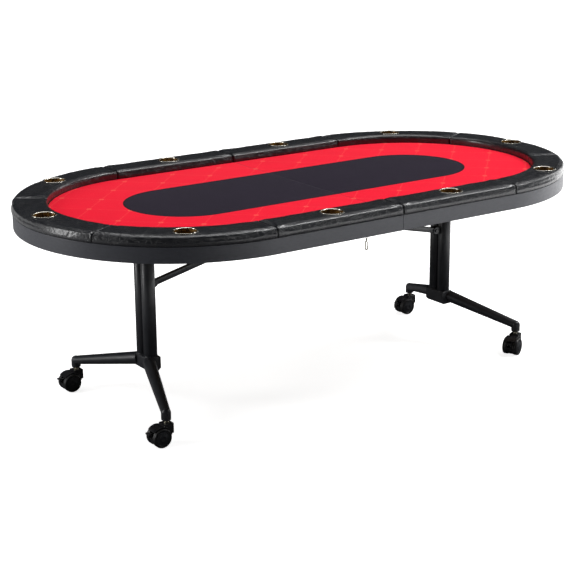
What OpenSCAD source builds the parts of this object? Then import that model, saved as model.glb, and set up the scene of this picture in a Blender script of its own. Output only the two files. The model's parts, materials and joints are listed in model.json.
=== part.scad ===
/* [Table top] */
// Overall length of the table top
table_length = 2286; // [1900:1:2440]
// Overall width of the table top
table_width = 1219; // [1100:1:1300]
// Height of the armrest above the floor
table_height = 787; // [760:1:820]
// Width of the padded armrest
rail_width = 130; // [122:1:150]
// Thickness of the padded armrest
rail_height = 39; // [34:1:46]
// Depth of the skirt below the armrest
apron_height = 56; // [50:1:64]
// Thickness of the skirt
apron_thickness = 14; // [10:1:14]
// Thickness of the two deck boards
deck_thickness = 16; // [12:1:18]
// Thickness of the padded playing cloth
felt_thickness = 6; // [3:0.5:8]

/* [Cup holders] */
// Diameter of a cup holder's rim
cup_rim_d = 88; // [84:1:92]
// Diameter of the bore for a cup holder
cup_hole_d = 79.2; // [76:0.1:82]
// Depth of a cup holder below its rim
cup_depth = 58; // [45:1:62]

/* [Legs] */
// Distance of each leg from the middle of the table
leg_x = 700; // [660:1:720]
// Diameter of a column tube
tube_d = 50; // [44:1:52]
// Height of the pivot that each half turns on
pivot_z = 655; // [645:1:662]
// Height of the top of the hub
hub_top = 210; // [200:1:230]
// Distance of a caster's stem from the middle, along the table
stem_x = 822; // [800:1:840]
// Distance of a caster's stem from the middle, across the table
stem_y = 336; // [300:1:360]

/* [Folding links] */
// Height of the link's lower pivot
link_low_z = 470; // [450:1:480]
// Distance of the link's lower pivot from the leg's own axis
link_offset = 42; // [40:1:46]
// Distance of the link's upper pivot from the seam
link_reach = 98; // [94:1:102]
// Depth of the link's upper pivot below the seam hinge
link_drop = 45; // [40:1:50]
// Depth of a link bar
link_depth = 22; // [18:1:24]

/* [Casters] */
// Diameter of a caster wheel
wheel_d = 70; // [60:1:74]
// Distance of the axle behind the stem
trail = 30; // [26:1:32]
// Angle that the front right caster is turned by
front_right_turn = 25; // [-180:1:180]

/* [Hidden] */
$fn = 72;

rail_z = table_height - rail_height;
apron_z = rail_z - apron_height;
deck_z = rail_z - deck_thickness;
felt_top = rail_z + felt_thickness;
end_radius = table_width / 2;
straight = (table_length - table_width) / 2;
seam_gap = 0.3;
pad_gap = 0.5;
apron_inset = 5;
apron_inner = apron_inset + apron_thickness;
cup_inset = 64;
cup_r = end_radius - cup_inset;
base_inset = 8;
base_height = 14;
base_clear = 0.3;
pad_arc = 60;

hinge_z = apron_z - 6;
hinge_ys = [-400, -150, 150, 400];
knuckle_r = 5;
hinge_pin_r = 2.5;
running = 0.05;

pin_r = 6;
head_r = 23;
head_half = 51;
cheek_in = 54;
cheek_t = 5;
bracket_plate = 4;
tube_y = tube_d / 2 + 0.5;
tube_wall = 2;
head_bottom = 600;
hub_bottom = 156;
hub_deep = 28;
hub_half = tube_y + tube_d / 2 + 1.5;
hub_chamfer = 10;
arm_start = 38;
arm_azimuth = atan2(stem_y, stem_x - leg_x);

arm_hub_z = 197;
arm_tip_z = 116;
arm_hub_r = 25;
arm_tip_r = 16.5;
socket_r = 17.5;
socket_bottom = 90;
stem_r = 5.5;
stem_top = 125;
stem_bore_top = 127;

link_y = 12;
link_half = 9;
link_pin_r = 5;
lug_gap = 0.5;
lug_t = 3;
link_low_x = leg_x - link_offset;
link_high_z = hinge_z - link_drop;
link_rise = link_high_z - link_low_z;
link_run = link_low_x + link_reach;
link_length = sqrt(link_run * link_run + link_rise * link_rise);
link_slope = atan2(link_rise, link_run);

hook_x = 62;
hook_y = 477;
hook_pivot_z = deck_z - 10;
hook_bottom = 603;
hook_length = 42;
chain_r = 2.4;
eye_pin_r = 1.5;

wheel_r = wheel_d / 2;
wheel_in = 11;
wheel_out = 32;
axle_r = 5;
web_half = 9.5;
hood_in = 1.5;
hood_t = 3.5;
hood_half = 24;
hood_start = 8;
hood_end = 138;
block_r = 19;
block_top = 80;
pedal_angle = 152;
pedal_pivot = 30;
pedal_pin_r = 2;
pedal_half = 6.5;

leather = [0.07, 0.07, 0.08];
charcoal = [0.24, 0.25, 0.28];
steel = [0.75, 0.75, 0.76];
powder = [0.13, 0.13, 0.14];
board = [0.72, 0.60, 0.42];
black = [0.06, 0.06, 0.07];

// Everything of one half is drawn for the right and mirrored for the left
module side(s) { if (s < 0) mirror([1, 0, 0]) children(); else children(); }

// A half stadium plate, its edge set in from the outline
module half_plate(inset, low, high) {
    r = end_radius - inset;
    translate([seam_gap, -r, low]) cube([straight - seam_gap, 2 * r, high - low]);
    translate([straight, 0, low]) rotate([0, 0, -90])
        rotate_extrude(angle = 180) square([r, high - low]);
}

// A U-shaped wall that follows the outline between two insets
module half_ring(outer, inner, low, high) {
    w = inner - outer;
    for (y = [-end_radius + outer, end_radius - inner])
        translate([seam_gap, y, low]) cube([straight - seam_gap, w, high - low]);
    translate([straight, 0, low]) rotate([0, 0, -90]) rotate_extrude(angle = 180)
        translate([end_radius - inner, 0]) square([w, high - low]);
}

// Places the children at the cup holders of one half
module at_cups() {
    for (sy = [-1, 1]) {
        translate([straight / 2, sy * cup_r, 0]) children();
        translate([straight + cup_r * cos(pad_arc), sy * cup_r * sin(pad_arc), 0]) children();
    }
    translate([straight + cup_r, 0, 0]) children();
}

module cup_bores() {
    at_cups() translate([0, 0, deck_z - 5]) cylinder(d = cup_hole_d, h = rail_height + deck_thickness + 10);
}

// Armrest section: x is the distance in from the outline, y the height above its underside
module pad_section() {
    outer = 13;
    inner = 11;
    foot = 5;
    w = rail_width;
    h = rail_height;
    difference() {
        polygon(concat(
            [for (a = [180 : 22.5 : 270]) [foot + foot * cos(a), foot + foot * sin(a)]],
            [[w, 0]],
            [for (a = [0 : 22.5 : 90]) [w - inner + inner * cos(a), h - inner + inner * sin(a)]],
            [for (a = [90 : 22.5 : 180]) [outer + outer * cos(a), h - outer + outer * sin(a)]]));
        translate([base_inset, -1]) square([w - 2 * base_inset, base_height + 1]);
    }
}

// A straight armrest pad along the front of the right half
module straight_pad() {
    translate([seam_gap, -end_radius, rail_z]) rotate([90, 0, 90])
        linear_extrude(straight - seam_gap - pad_gap) pad_section();
}

// A curved armrest pad, centred on the given angle of the round end
module arc_pad(centre) {
    slack = pad_gap / end_radius * 180 / PI;
    translate([straight, 0, rail_z]) rotate([0, 0, centre - pad_arc / 2 + slack])
        rotate_extrude(angle = pad_arc - 2 * slack)
            translate([end_radius, 0]) mirror([1, 0]) pad_section();
}

module pad(s, kind, centre = 0) {
    color(leather) side(s) difference() {
        if (kind == "arc") arc_pad(centre);
        else if (kind == "front") straight_pad();
        else mirror([0, 1, 0]) straight_pad();
        cup_bores();
    }
}

module deck(s) { color(board) side(s) difference() {
    half_plate(apron_inner, deck_z, rail_z);
    cup_bores();
} }

module felt(s) { color([0.85, 0.08, 0.15]) side(s) half_plate(rail_width + 0.2, rail_z, felt_top); }

module apron(s) { color(charcoal) side(s) half_ring(apron_inset, apron_inner, apron_z, rail_z); }

module rail_base(s) { color(board) side(s) difference() {
    half_ring(base_inset + base_clear, rail_width - base_inset - base_clear,
        rail_z, rail_z + base_height - base_clear);
    cup_bores();
} }

module cup_holders(s) {
    r = cup_hole_d / 2 - 0.6;
    wall = 1.2;
    rim = cup_rim_d / 2;
    top = table_height;
    color(steel) side(s) at_cups() rotate_extrude() polygon([
        [0, top - cup_depth], [r, top - cup_depth], [r, top], [rim, top], [rim - 0.4, top + 0.9],
        [rim - 1.6, top + 1.6], [r - 1, top + 1.6], [r - wall, top + 0.6],
        [r - wall, top - cup_depth + wall], [0, top - cup_depth + wall]]);
}

module seam_beam(s) {
    half = end_radius - apron_inner;
    color(board) side(s) translate([seam_gap, -half, apron_z]) cube([20, 2 * half, deck_z - apron_z]);
}

module leg_bracket(s) {
    plate_x = 70;
    plate_y = 66;
    color(powder) side(s) translate([leg_x, 0, 0]) {
        difference() {
            translate([-plate_x, -plate_y, deck_z - bracket_plate])
                cube([2 * plate_x, 2 * plate_y, bracket_plate]);
            for (x = [-plate_x + 12, plate_x - 12], y = [-plate_y + 14, plate_y - 14])
                translate([x, y, deck_z - 10]) cylinder(r = 3, h = 20);
        }
        for (sy = [-1, 1]) difference() {
            union() {
                translate([-head_r, sy > 0 ? cheek_in : -cheek_in - cheek_t, pivot_z])
                    cube([2 * head_r, cheek_t, deck_z - bracket_plate - pivot_z]);
                translate([0, sy * (cheek_in + cheek_t / 2), pivot_z]) rotate([90, 0, 0])
                    cylinder(r = head_r, h = cheek_t, center = true);
            }
            translate([0, 0, pivot_z]) rotate([90, 0, 0])
                cylinder(r = pin_r + running, h = 300, center = true);
        }
    }
}

// The hanger carries the far end of the link that comes from the other leg
module link_hanger(s) {
    plate = 4;
    y_in = link_half + link_y + 1;
    color(powder) side(s) mirror([0, s > 0 ? 0 : 1, 0]) translate([link_reach, 0, 0]) {
        translate([-30, y_in - 10, deck_z - 3]) cube([60, 50, 3]);
        translate([-14, y_in, link_high_z]) cube([28, plate, deck_z - 3 - link_high_z]);
        translate([0, y_in + plate, link_high_z]) rotate([90, 0, 0]) cylinder(r = 14, h = plate);
        translate([0, y_in + plate + 5, link_high_z]) rotate([90, 0, 0]) cylinder(r = 8, h = 5, $fn = 6);
    }
}

// One leaf of each seam hinge, with every other knuckle of the barrel
module hinge_leaves(s) {
    leaf = 2.5;
    cut = 6;
    width = 60;
    n = 5;
    step = width / n;
    bore = s > 0 ? hinge_pin_r + running : hinge_pin_r;
    color(steel) side(s) for (y = hinge_ys) translate([0, y, 0]) {
        translate([cut, -width / 2, apron_z - leaf]) cube([36, width, leaf]);
        for (i = [s > 0 ? 1 : 0 : 2 : n - 1]) translate([0, -width / 2 + i * step + 0.2, 0]) difference() {
            union() {
                translate([0, 0, apron_z - leaf]) cube([cut, step - 0.4, leaf]);
                translate([0, step - 0.4, hinge_z]) rotate([90, 0, 0]) cylinder(r = knuckle_r, h = step - 0.4);
            }
            translate([0, step, hinge_z]) rotate([90, 0, 0]) cylinder(r = bore, h = step + 2);
        }
    }
}

module hinge_pins() {
    color(steel) for (y = hinge_ys) translate([0, y, hinge_z]) rotate([90, 0, 0])
        cylinder(r = hinge_pin_r, h = 64, center = true);
}

module column(s) {
    color(powder) side(s) for (y = [-tube_y, tube_y]) translate([leg_x, y, hub_top]) difference() {
        cylinder(d = tube_d, h = head_bottom - hub_top);
        translate([0, 0, -1]) cylinder(d = tube_d - 2 * tube_wall, h = head_bottom - hub_top + 2);
    }
}

module pivot_head(s) {
    color(powder) side(s) translate([leg_x, 0, 0]) difference() {
        union() {
            translate([-tube_d / 2, -head_half, head_bottom]) cube([tube_d, 2 * head_half, 14]);
            translate([-head_r, -head_half, head_bottom]) cube([2 * head_r, 2 * head_half, pivot_z - head_bottom]);
            translate([0, 0, pivot_z]) rotate([90, 0, 0]) cylinder(r = head_r, h = 2 * head_half, center = true);
        }
        translate([0, 0, pivot_z]) rotate([90, 0, 0]) cylinder(r = pin_r, h = 300, center = true);
    }
}

// The leg's pivot pin and the bolt of its link bracket
module leg_pins(s) {
    end = cheek_in + cheek_t + 1;
    bolt = link_half + lug_gap + lug_t;
    color(powder) side(s) {
        translate([leg_x, 0, pivot_z]) rotate([90, 0, 0]) cylinder(r = pin_r, h = 2 * end, center = true);
        for (sy = [-1, 1]) translate([leg_x, sy * (end + 2), pivot_z]) rotate([90, 0, 0])
            cylinder(r = 10, h = 4, center = true);
        translate([link_low_x, -s * link_y, link_low_z]) rotate([90, 0, 0]) {
            cylinder(r = link_pin_r, h = 2 * bolt, center = true);
            for (z = [-1, 1]) translate([0, 0, z * (bolt + 2.5)]) cylinder(r = 8, h = 5, center = true, $fn = 6);
        }
    }
}

// The block that joins the two tubes to the two arms
module hub(s) {
    h = hub_top - hub_bottom;
    c = hub_chamfer;
    color(powder) side(s) translate([leg_x, hub_half, hub_bottom]) rotate([90, 0, 0])
        linear_extrude(2 * hub_half) polygon([
            [-hub_deep + c, 0], [hub_deep - c, 0], [hub_deep, c], [hub_deep, h - 3], [hub_deep - 3, h],
            [-hub_deep + 3, h], [-hub_deep, h - 3], [-hub_deep, c]]);
}

// The round socket at the end of an arm, with a domed top
module foot_socket() {
    dome = 0.92;
    rotate_extrude() polygon(concat([[0, socket_bottom], [socket_r, socket_bottom]],
        [for (a = [0 : 11.25 : 90]) [socket_r * cos(a), arm_tip_z + dome * socket_r * sin(a)]]));
}

// A tapered arm from the hub's corner to the caster's socket, cut to fit round the hub
module foot(s, sy) {
    run = sqrt((stem_x - leg_x) * (stem_x - leg_x) + stem_y * stem_y);
    fall = arm_hub_z - arm_tip_z;
    color(powder) side(s) mirror([0, sy > 0 ? 0 : 1, 0]) difference() {
        union() {
            translate([leg_x, 0, arm_hub_z]) rotate([0, 0, arm_azimuth]) rotate([0, 90 + atan2(fall, run), 0])
                cylinder(r1 = arm_hub_r, r2 = arm_tip_r, h = sqrt(run * run + fall * fall));
            translate([stem_x, stem_y, 0]) foot_socket();
        }
        translate([leg_x, 0, arm_hub_z]) rotate([0, 0, arm_azimuth])
            translate([-100, -100, -100]) cube([100 + arm_start, 200, 200]);
        translate([leg_x - hub_deep, -hub_half, 0]) cube([2 * hub_deep, 2 * hub_half, 2 * hub_top]);
        translate([stem_x, stem_y, socket_bottom - 1])
            cylinder(r = stem_r + running, h = stem_bore_top - socket_bottom + 1);
    }
}

// A U bracket on the inner face of the column
module link_bracket(s) {
    back = leg_x - tube_d / 2;
    half = link_half + lug_gap;
    r = 14;
    color(powder) side(s) translate([0, -s * link_y, 0]) {
        translate([back - 4, -half - lug_t, link_low_z - 17]) cube([4, 2 * (half + lug_t), 34]);
        for (sy = [-1, 1]) difference() {
            union() {
                translate([link_low_x, sy > 0 ? half : -half - lug_t, link_low_z - r])
                    cube([back - 4 - link_low_x, lug_t, 2 * r]);
                translate([link_low_x, sy * (half + lug_t / 2), link_low_z]) rotate([90, 0, 0])
                    cylinder(r = r, h = lug_t, center = true);
            }
            translate([link_low_x, 0, link_low_z]) rotate([90, 0, 0])
                cylinder(r = link_pin_r, h = 60, center = true);
        }
    }
}

// A link bar runs from one leg, under the seam, to the other half of the top
module link(s) {
    r = link_depth / 2;
    color(powder) side(s) translate([link_low_x, -s * link_y, link_low_z])
        rotate([0, 180 + link_slope, 0]) difference() {
            union() {
                translate([0, -link_half, -r]) cube([link_length, 2 * link_half, 2 * r]);
                for (x = [0, link_length]) translate([x, 0, 0]) rotate([90, 0, 0])
                    cylinder(r = r, h = 2 * link_half, center = true);
            }
            rotate([90, 0, 0]) cylinder(r = link_pin_r + running, h = 60, center = true);
        }
}

module hook_eye() {
    color(steel) translate([-hook_x, -hook_y, 0]) {
        translate([-11, -11, deck_z - 2]) cube([22, 22, 2]);
        for (sy = [-1, 1]) translate([-2, sy * 6 - 1.5, hook_pivot_z - 2]) cube([4, 3, 10]);
        translate([0, 0, hook_pivot_z]) rotate([90, 0, 0]) cylinder(r = eye_pin_r, h = 15, center = true);
    }
}

// A snap hook on its short chain, hanging from the eye
module snap_hook() {
    top = hook_bottom + hook_length;
    half = 6;
    wire = 2.2;
    color(steel) translate([-hook_x, -hook_y, 0]) {
        difference() {
            translate([0, 0, hook_pivot_z]) rotate([90, 0, 0]) cylinder(r = 4.2, h = 5, center = true);
            translate([0, 0, hook_pivot_z]) rotate([90, 0, 0]) cylinder(r = eye_pin_r + running, h = 20, center = true);
        }
        translate([0, 0, top - 2]) cylinder(r = chain_r, h = hook_pivot_z - 3 - top + 2);
        translate([0, wire, hook_bottom + half]) rotate([90, 0, 0]) difference() {
            union() {
                translate([-half, 0, 0]) cube([2 * half, hook_length - 2 * half, 2 * wire]);
                cylinder(r = half, h = 2 * wire);
                translate([0, hook_length - 2 * half, 0]) cylinder(r = half, h = 2 * wire);
            }
            translate([-half + 2.6, 0, -1]) cube([2 * half - 5.2, hook_length - 2 * half, 2 * wire + 2]);
            translate([0, 0, -1]) cylinder(r = half - 2.6, h = 2 * wire + 2);
            translate([0, hook_length - 2 * half, -1]) cylinder(r = half - 2.6, h = 2 * wire + 2);
        }
    }
}

// Puts a caster under its socket; the axle trails toward local -x
module at_caster(sx, sy) {
    turn = (sx > 0 && sy < 0) ? front_right_turn : 0;
    translate([sx * stem_x, sy * stem_y, 0]) rotate([0, 0, turn]) children();
}

// A ring sector about the axle, between two angles, extruded across the wheels
module sector(r_in, r_out, from, to, half) {
    translate([-trail, half, wheel_r]) rotate([90, 0, 0]) rotate([0, 0, from])
        rotate_extrude(angle = to - from) translate([r_in, 0]) square([r_out - r_in, 2 * half]);
}

module across(x, z, r, half) { translate([x, 0, z]) rotate([90, 0, 0]) cylinder(r = r, h = 2 * half, center = true); }

pedal_x = -trail + pedal_pivot * cos(pedal_angle);
pedal_z = wheel_r + pedal_pivot * sin(pedal_angle);

module caster(sx, sy) {
    clear = wheel_r + hood_in;
    low = wheel_r + 8;
    slot_half = pedal_half + 0.5;
    color(black) at_caster(sx, sy) {
        difference() {
            union() {
                difference() {
                    translate([-block_r, -block_r, low]) cube([2 * block_r, 2 * block_r, block_top - low]);
                    across(-trail, wheel_r, clear + 1, 60);
                }
                translate([-block_r + 1, -web_half, low + 1]) cube([2 * block_r - 2, 2 * web_half, 20]);
                across(-trail, wheel_r, wheel_r - 2, web_half);
                sector(wheel_r - 3, clear + 1.5, hood_start + 2, 176, web_half - 0.5);
                sector(clear, clear + hood_t, hood_start, hood_end, hood_half);
            }
            across(-trail, wheel_r, axle_r + running, 60);
            across(pedal_x, pedal_z, 7, slot_half);
            sector(24, 60, hood_end + 1, 181, slot_half);
        }
        across(pedal_x, pedal_z, pedal_pin_r, web_half - 1);
        translate([0, 0, block_top - 1]) cylinder(r = 9, h = 4);
        translate([0, 0, block_top]) cylinder(r = stem_r, h = stem_top - block_top);
    }
}

module wheels(sx, sy) {
    w = wheel_out - wheel_in;
    color(black) at_caster(sx, sy) translate([-trail, 0, wheel_r]) rotate([90, 0, 0]) {
        cylinder(r = axle_r, h = 2 * wheel_out, center = true);
        for (f = [0, 1]) mirror([0, 0, f]) translate([0, 0, wheel_in]) rotate_extrude() polygon([
            [0, 0], [wheel_r - 4, 0], [wheel_r - 1, 1], [wheel_r, 4], [wheel_r, w - 7], [wheel_r - 1.5, w - 3],
            [wheel_r - 6, w - 1], [wheel_r - 9, w - 1.4], [wheel_r - 10, w], [0, w + 1]]);
    }
}

// A brake pedal hinged in the back of the hood
module pedal(sx, sy) {
    color(black) at_caster(sx, sy) difference() {
        union() {
            across(pedal_x, pedal_z, 5, pedal_half);
            translate([pedal_x, 0, pedal_z]) rotate([0, -166, 0]) {
                translate([2, -pedal_half + 0.2, -2.8]) cube([16, 2 * pedal_half - 0.4, 5.6]);
                translate([12, -12, -3.2]) cube([9, 24, 7]);
            }
        }
        across(pedal_x, pedal_z, pedal_pin_r + running, 60);
    }
}

deck(-1);  // left_deck
deck(1);  // right_deck
felt(-1);  // left_felt
felt(1);  // right_felt
apron(-1);  // left_apron
apron(1);  // right_apron
rail_base(-1);  // left_rail_base
rail_base(1);  // right_rail_base
pad(-1, "front");  // left_front_pad
pad(-1, "arc", -pad_arc);  // left_front_corner_pad
pad(-1, "arc", 0);  // left_end_pad
pad(-1, "arc", pad_arc);  // left_back_corner_pad
pad(-1, "back");  // left_back_pad
pad(1, "front");  // right_front_pad
pad(1, "arc", -pad_arc);  // right_front_corner_pad
pad(1, "arc", 0);  // right_end_pad
pad(1, "arc", pad_arc);  // right_back_corner_pad
pad(1, "back");  // right_back_pad
cup_holders(-1);  // left_cup_holders
cup_holders(1);  // right_cup_holders
seam_beam(-1);  // left_seam_beam
seam_beam(1);  // right_seam_beam
leg_bracket(-1);  // left_leg_bracket
leg_bracket(1);  // right_leg_bracket
link_hanger(-1);  // left_link_hanger
link_hanger(1);  // right_link_hanger
hinge_leaves(-1);  // left_hinge_leaves
hinge_leaves(1);  // right_hinge_leaves
hinge_pins();
column(-1);  // left_column
column(1);  // right_column
pivot_head(-1);  // left_pivot_head
pivot_head(1);  // right_pivot_head
leg_pins(-1);  // left_leg_pins
leg_pins(1);  // right_leg_pins
hub(-1);  // left_hub
hub(1);  // right_hub
foot(-1, -1);  // left_front_foot
foot(-1, 1);  // left_back_foot
foot(1, -1);  // right_front_foot
foot(1, 1);  // right_back_foot
link_bracket(-1);  // left_link_bracket
link_bracket(1);  // right_link_bracket
link(-1);  // left_link
link(1);  // right_link
hook_eye();
snap_hook();
caster(-1, -1);  // front_left_caster
caster(-1, 1);  // back_left_caster
caster(1, -1);  // front_right_caster
caster(1, 1);  // back_right_caster
wheels(-1, -1);  // front_left_wheels
wheels(-1, 1);  // back_left_wheels
wheels(1, -1);  // front_right_wheels
wheels(1, 1);  // back_right_wheels
pedal(-1, -1);  // front_left_pedal
pedal(-1, 1);  // back_left_pedal
pedal(1, -1);  // front_right_pedal
pedal(1, 1);  // back_right_pedal
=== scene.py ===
import json
from math import cos, pi, radians, sin

import bmesh
import bpy
import numpy as np
from bpy.props import FloatProperty, FloatVectorProperty, PointerProperty
from mathutils import Matrix, Vector, noise


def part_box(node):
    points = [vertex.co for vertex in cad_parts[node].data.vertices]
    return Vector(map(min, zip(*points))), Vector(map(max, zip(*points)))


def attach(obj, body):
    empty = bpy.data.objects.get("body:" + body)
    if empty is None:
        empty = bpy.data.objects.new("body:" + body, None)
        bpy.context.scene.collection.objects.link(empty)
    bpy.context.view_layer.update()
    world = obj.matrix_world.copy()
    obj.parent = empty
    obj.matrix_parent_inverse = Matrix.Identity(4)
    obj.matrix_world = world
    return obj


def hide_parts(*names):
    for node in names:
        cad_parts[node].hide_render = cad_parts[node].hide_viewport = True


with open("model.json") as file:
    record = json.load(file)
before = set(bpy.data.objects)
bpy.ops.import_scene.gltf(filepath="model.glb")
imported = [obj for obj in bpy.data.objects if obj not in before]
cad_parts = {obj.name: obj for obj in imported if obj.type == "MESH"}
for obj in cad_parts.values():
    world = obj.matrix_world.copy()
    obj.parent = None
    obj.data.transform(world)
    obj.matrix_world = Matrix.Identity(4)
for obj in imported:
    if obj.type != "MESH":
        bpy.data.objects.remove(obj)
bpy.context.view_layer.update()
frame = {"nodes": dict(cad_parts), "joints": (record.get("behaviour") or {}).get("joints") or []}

bl_info = {
    "name": "Folding Card Table",
    "version": (1, 0, 0),
    "blender": (4, 5, 0),
    "location": "View3D > Sidebar > Card Table",
    "description": "Builds the finish of a folding ten seat card table round its frame",
    "category": "Object",
}

# ---------------------------------------------------------------- sizes read from the frame, in metres

JOINTS = {joint["name"]: joint for joint in frame["joints"]}
PAD_LOW, PAD_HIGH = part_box("right_front_pad")
BASE_LOW, BASE_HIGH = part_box("right_rail_base")
SKIRT_LOW, SKIRT_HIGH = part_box("right_apron")
DECK_LOW, DECK_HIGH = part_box("right_deck")
FELT_LOW, FELT_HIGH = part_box("right_felt")
CUP_LOW, CUP_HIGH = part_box("right_cup_holders")

SEAM = PAD_LOW.x
HALF_WIDTH = round(-PAD_LOW.y, 4)
STRAIGHT = round(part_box("right_end_pad")[1].x, 3) - HALF_WIDTH
RAIL_WIDTH = PAD_HIGH.y - PAD_LOW.y
RAIL_Z, RAIL_TOP = PAD_LOW.z, PAD_HIGH.z
PAD_GAP = STRAIGHT - PAD_HIGH.x
BASE_INSET = HALF_WIDTH + BASE_LOW.y
BASE_TOP = BASE_HIGH.z
SKIRT_INSET = HALF_WIDTH + SKIRT_LOW.y
SKIRT_INNER = HALF_WIDTH + DECK_LOW.y
FELT_RADIUS = FELT_HIGH.y
PAD_ARC = radians(60)

LEG_X = JOINTS["right_leg_pivot"]["pos_m"][0]
PIVOT_Z = JOINTS["right_leg_pivot"]["pos_m"][2]
TUBE_LOW, TUBE_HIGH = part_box("right_column")
TUBE_RADIUS = (TUBE_HIGH.x - TUBE_LOW.x) / 2
TUBE_Y = TUBE_HIGH.y - TUBE_RADIUS
HEAD_LOW, HEAD_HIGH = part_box("right_pivot_head")
ARM_START, ARM_HUB_Z, ARM_TIP_Z = 0.038, 0.197, 0.116
HINGE_PLACES = (-0.4, -0.15, 0.15, 0.4)
CASTER_TOP = 0.0805

SIDES = (("left", -1), ("right", 1))
ENDS = (("front", -1), ("back", 1))
Z_AXIS = Vector((0, 0, 1))
MM = 0.001


class CardTableSizes(bpy.types.PropertyGroup):
    """Sizes of the pieces that are made round the frame"""
    pad_mesh: FloatProperty(
        name="Pad mesh size", description="Edge length of an armrest pad's mesh before it swells",
        default=0.005, min=0.003, max=0.02, unit="LENGTH")
    pad_swell: FloatProperty(
        name="Pad swell", description="Most that the stuffing may push an armrest pad's cover out",
        default=0.003, min=0.0, max=0.01, unit="LENGTH")
    pad_slack: FloatProperty(
        name="Pad slack", description="How much smaller than its space a pad is before it swells",
        default=0.0015, min=0.0, max=0.01, unit="LENGTH")
    pad_end_round: FloatProperty(
        name="Pad end rounding",
        description="Rounding of a pad's two ends, which makes the groove at a joint",
        default=0.007, min=0.001, max=0.012, unit="LENGTH")
    crease_depth: FloatProperty(
        name="Crease depth", description="Depth of the creases in the armrest's cover",
        default=0.0012, min=0.0, max=0.003, unit="LENGTH")
    cloth_thickness: FloatProperty(
        name="Cloth thickness", description="Thickness of the playing cloth",
        default=0.0008, min=0.0002, max=0.002, unit="LENGTH")
    field_straight: FloatProperty(
        name="Dark field half length",
        description="Half length of the straight part of the cloth's dark field",
        default=0.514, min=0.3, max=0.6, unit="LENGTH")
    field_radius: FloatProperty(
        name="Dark field radius", description="Radius of the ends of the cloth's dark field",
        default=0.230, min=0.1, max=0.4, unit="LENGTH")
    lattice: FloatProperty(
        name="Lattice pitch",
        description="Distance between the crossings printed on the cloth, along the table",
        default=0.2134, min=0.05, max=0.5, unit="LENGTH")
    soft_edge: FloatProperty(
        name="Metal edge rounding", description="Rounding of the edges of brackets and castings",
        default=0.0008, min=0.0001, max=0.003, unit="LENGTH")
    skirt_edge: FloatProperty(
        name="Skirt edge rounding", description="Rounding of the edges of the skirt",
        default=0.0015, min=0.0002, max=0.004, unit="LENGTH")


class CardTableColours(bpy.types.PropertyGroup):
    """Colours of the finishes"""
    cloth: FloatVectorProperty(
        name="Cloth", description="Colour of the playing cloth", subtype="COLOR",
        default=(0.88, 0.008, 0.032), min=0, max=1)
    field: FloatVectorProperty(
        name="Dark field", description="Colour of the middle of the playing cloth", subtype="COLOR",
        default=(0.016, 0.0115, 0.022), min=0, max=1)
    vinyl: FloatVectorProperty(
        name="Armrest", description="Colour of the armrest's cover", subtype="COLOR",
        default=(0.010, 0.011, 0.014), min=0, max=1)
    skirt: FloatVectorProperty(
        name="Skirt", description="Colour of the skirt's laminate", subtype="COLOR",
        default=(0.052, 0.055, 0.068), min=0, max=1)
    powder: FloatVectorProperty(
        name="Legs", description="Colour of the legs' powder coat", subtype="COLOR",
        default=(0.025, 0.027, 0.032), min=0, max=1)


class CardTableStage(bpy.types.PropertyGroup):
    """Camera of the stage"""
    lens: FloatProperty(
        name="Focal length", description="Focal length on a 36 mm sensor", default=91.285, min=20, max=200)
    place: FloatVectorProperty(
        name="Camera", description="Place of the camera", subtype="TRANSLATION",
        default=(-3.16899, -4.42396, 1.96721))
    yaw: FloatProperty(
        name="Yaw", description="How far the camera looks round from the table's own depth",
        default=radians(35.01), subtype="ANGLE")
    pitch: FloatProperty(
        name="Pitch", description="How far the camera looks down", default=radians(16.68), subtype="ANGLE")
    roll: FloatProperty(
        name="Roll", description="How far the camera leans over", default=radians(-0.38), subtype="ANGLE")


def sizes():
    return bpy.context.scene.card_table_sizes


def colours():
    return bpy.context.scene.card_table_colours


# ---------------------------------------------------------------- finishes

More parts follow.
